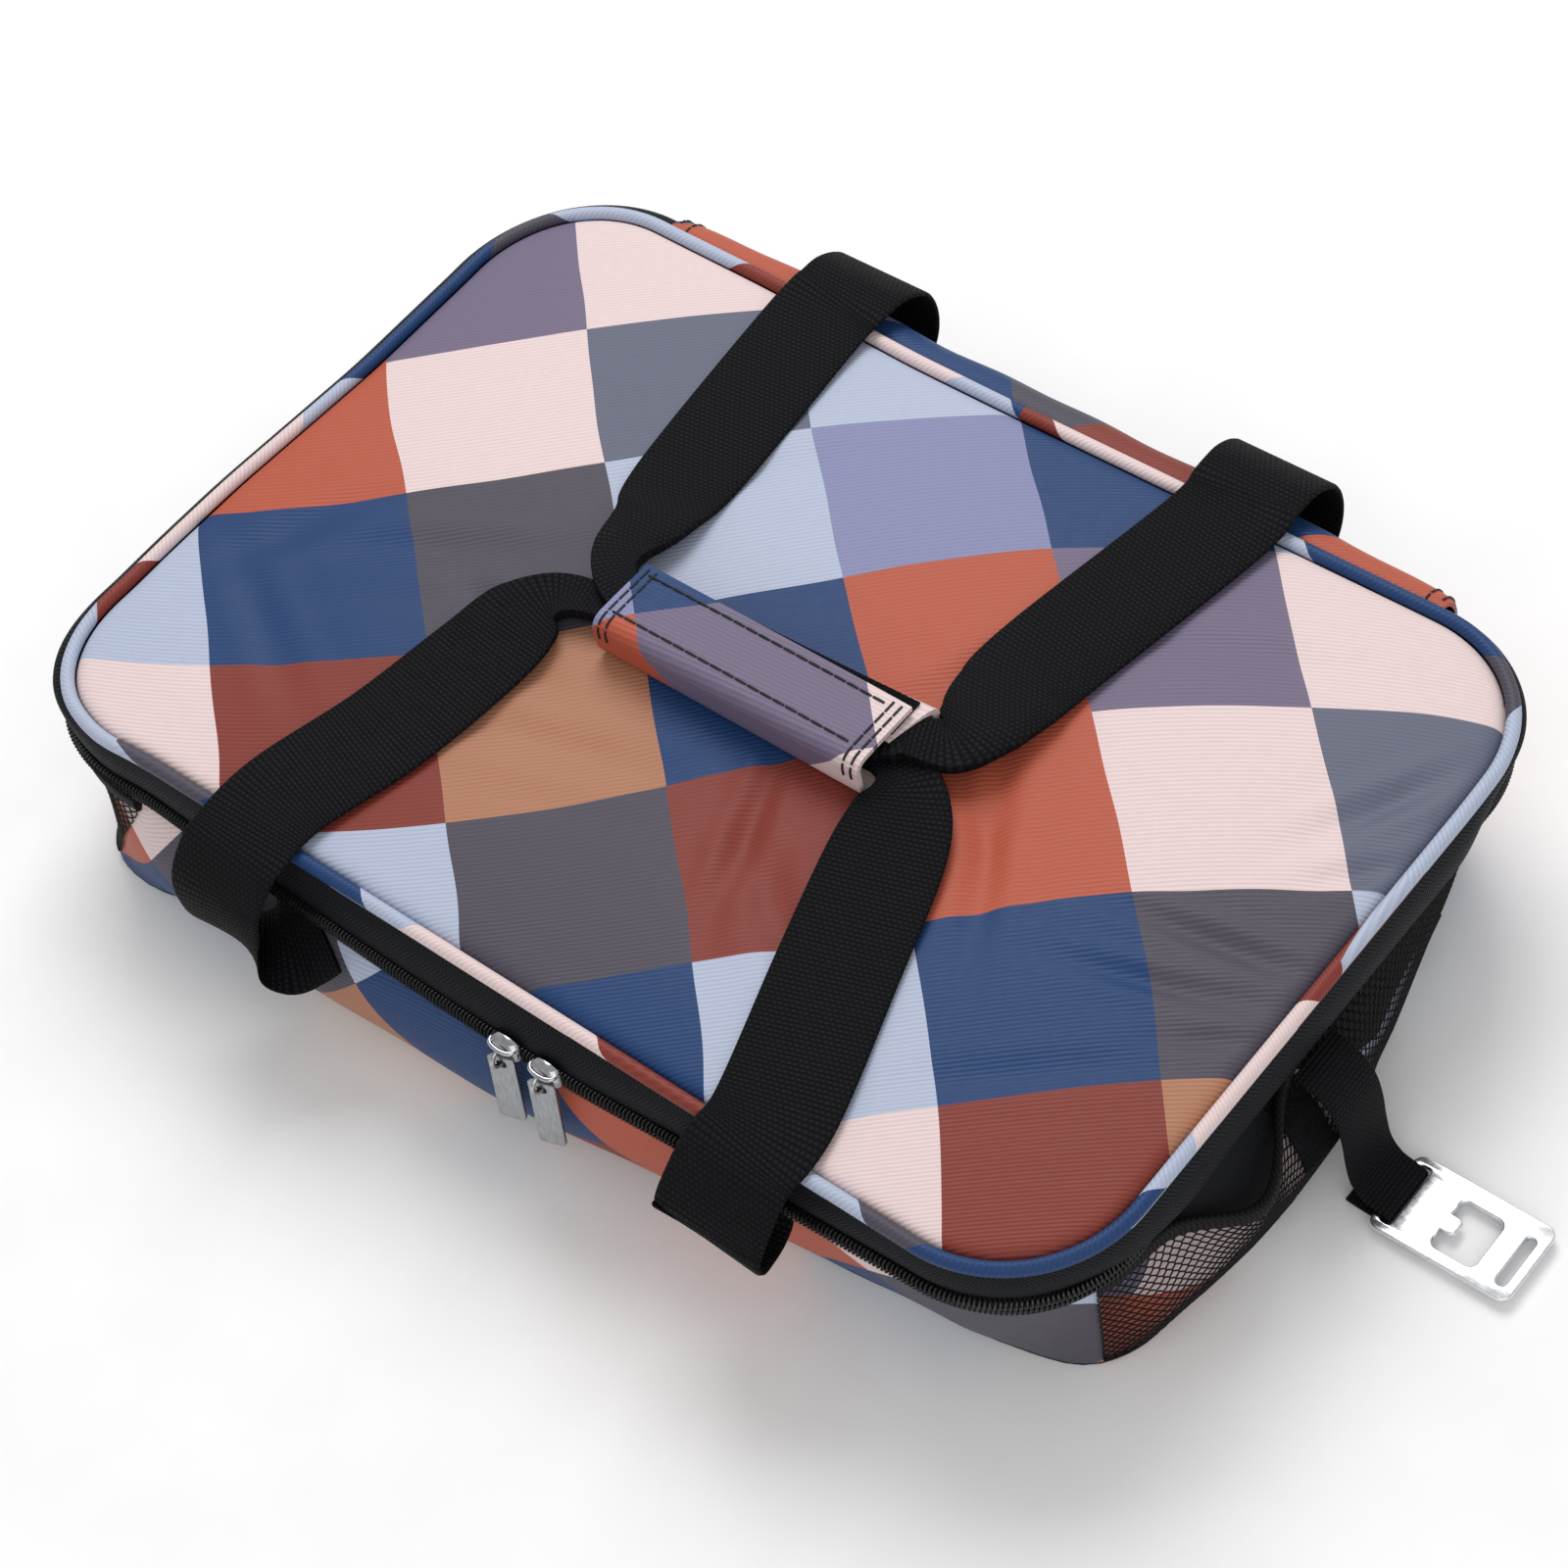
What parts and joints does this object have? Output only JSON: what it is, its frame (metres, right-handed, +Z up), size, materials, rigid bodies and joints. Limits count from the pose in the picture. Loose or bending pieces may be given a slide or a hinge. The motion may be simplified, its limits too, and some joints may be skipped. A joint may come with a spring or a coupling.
{
  "type": "collapsible cooler",
  "caption": "Soft insulated cooler folded flat, with a zip lid, folding padded walls, net end pockets, gathered webbing handles and a bottle opener on a strap.",
  "frame": {"origin": "middle of the underside of the base", "axes": "+Z up, +X to the end with the bottle opener, -Y to the front with the zip pulls"},
  "size_m": [0.5004, 0.3104, 0.0942],
  "materials": {
    "base_fabric": "black woven polyester",
    "base_board": "plain moulded sheet",
    "foam": "closed-cell foam",
    "lining": "satin heat-sealed film",
    "printed_polyester": "ribbed polyester printed in multi-coloured checks",
    "zip_tape": "black herringbone tape",
    "zip_coil": "black nylon coil",
    "pocket_net": "black knitted net",
    "elastic_binding": "black ribbed elastic",
    "black_webbing": "black ribbed webbing",
    "hook_and_loop": "black hook and loop",
    "slider_metal": "bright nickel plate",
    "opener_steel": "bright stamped steel"
  },
  "bodies": {
    "base": {"base_panel": "base_fabric", "base_board": "base_board", "base_foam": "foam", "base_lining": "lining", "base_wall": "printed_polyester"},
    "lower_fold": {"lower_fold_wall": "printed_polyester"},
    "upper_fold": {"upper_fold_wall": "printed_polyester"},
    "rim": {"front_panel": "printed_polyester", "back_panel": "printed_polyester", "left_end_panel": "printed_polyester", "right_end_panel": "printed_polyester", "rim_foam": "foam", "rim_lining": "lining", "lower_zip_tape": "zip_tape", "lower_zip_coil": "zip_coil", "hinge_strip": "printed_polyester", "left_pocket_net": "pocket_net", "left_pocket_binding": "elastic_binding", "right_pocket_net": "pocket_net", "right_pocket_binding": "elastic_binding", "front_left_strap_root": "black_webbing", "front_right_strap_root": "black_webbing", "back_left_strap_root": "black_webbing", "back_right_strap_root": "black_webbing"},
    "lid": {"lid_cover": "printed_polyester", "lid_foam": "foam", "lid_lining": "lining", "lid_piping": "printed_polyester", "upper_zip_tape": "zip_tape", "upper_zip_coil": "zip_coil"},
    "front_handle": {"front_handle_loop": "black_webbing"},
    "back_handle": {"back_handle_loop": "black_webbing", "grip_wrap": "printed_polyester", "grip_loop_strip": "hook_and_loop"},
    "grip_flap": {"grip_flap": "printed_polyester", "grip_hook_strip": "hook_and_loop"},
    "left_slider": {"left_slider_body": "slider_metal", "left_slider_bail": "slider_metal"},
    "right_slider": {"right_slider_body": "slider_metal", "right_slider_bail": "slider_metal"},
    "left_pull": {"left_pull_tab": "slider_metal"},
    "right_pull": {"right_pull_tab": "slider_metal"},
    "opener_strap": {"opener_strap": "black_webbing"},
    "opener": {"bottle_opener": "opener_steel"}
  },
  "joints": [
    {"name": "cooler_expand", "type": "slide", "parent": "base", "child": "rim", "axis": [0, 0, 1], "range_m": [0, 0.126]},
    {"name": "lower_fold_lift", "type": "slide", "parent": "base", "child": "lower_fold", "axis": [0, 0, 1], "range_m": [0, 0.042]},
    {"name": "upper_fold_lift", "type": "slide", "parent": "base", "child": "upper_fold", "axis": [0, 0, 1], "range_m": [0, 0.084]},
    {"name": "lid_open", "type": "hinge", "parent": "rim", "child": "lid", "pos_m": [0, 0.139, 0.0572], "axis": [-1, 0, 0], "range_deg": [0, 105], "deforming": ["hinge_strip"]},
    {"name": "front_handle_swing", "type": "hinge", "parent": "rim", "child": "front_handle", "pos_m": [0, -0.154, 0.06], "axis": [1, 0, 0], "range_deg": [0, 185], "deforming": ["front_handle_loop", "front_left_strap_root", "front_right_strap_root"]},
    {"name": "back_handle_swing", "type": "hinge", "parent": "rim", "child": "back_handle", "pos_m": [0, 0.154, 0.06], "axis": [-1, 0, 0], "range_deg": [0, 185], "deforming": ["back_handle_loop", "back_left_strap_root", "back_right_strap_root"]},
    {"name": "grip_flap_open", "type": "hinge", "parent": "back_handle", "child": "grip_flap", "pos_m": [0.005, -0.024, 0.0926], "axis": [1, 0, 0], "range_deg": [0, 150]},
    {"name": "left_slider_slide", "type": "slide", "parent": "rim", "child": "left_slider", "axis": [-1, 0, 0], "range_m": [0, 0.15]},
    {"name": "right_slider_slide", "type": "slide", "parent": "rim", "child": "right_slider", "axis": [1, 0, 0], "range_m": [0, 0.118]},
    {"name": "left_pull_swing", "type": "hinge", "parent": "left_slider", "child": "left_pull", "pos_m": [0.006, -0.1412, 0.0572], "axis": [-1, 0, 0], "range_deg": [0, 165]},
    {"name": "right_pull_swing", "type": "hinge", "parent": "right_slider", "child": "right_pull", "pos_m": [0.027, -0.1412, 0.0572], "axis": [-1, 0, 0], "range_deg": [0, 165]},
    {"name": "opener_strap_swing", "type": "hinge", "parent": "rim", "child": "opener_strap", "pos_m": [0.2097, -0.009, 0.0532], "axis": [0, -1, 0], "range_deg": [0, 100], "deforming": ["opener_strap"]},
    {"name": "opener_swing", "type": "hinge", "parent": "opener_strap", "child": "opener", "pos_m": [0.22975, -0.009, 0.0033], "axis": [0, -1, 0], "range_deg": [0, 90]}
  ],
  "couplings": [
    {"joint": "lower_fold_lift", "follows": "cooler_expand", "ratio": 0.33333},
    {"joint": "upper_fold_lift", "follows": "cooler_expand", "ratio": 0.66667},
    {"joint": "front_handle_swing", "follows": "lid_open", "ratio": 1.76},
    {"joint": "back_handle_swing", "follows": "lid_open", "ratio": 1.76}
  ]
}
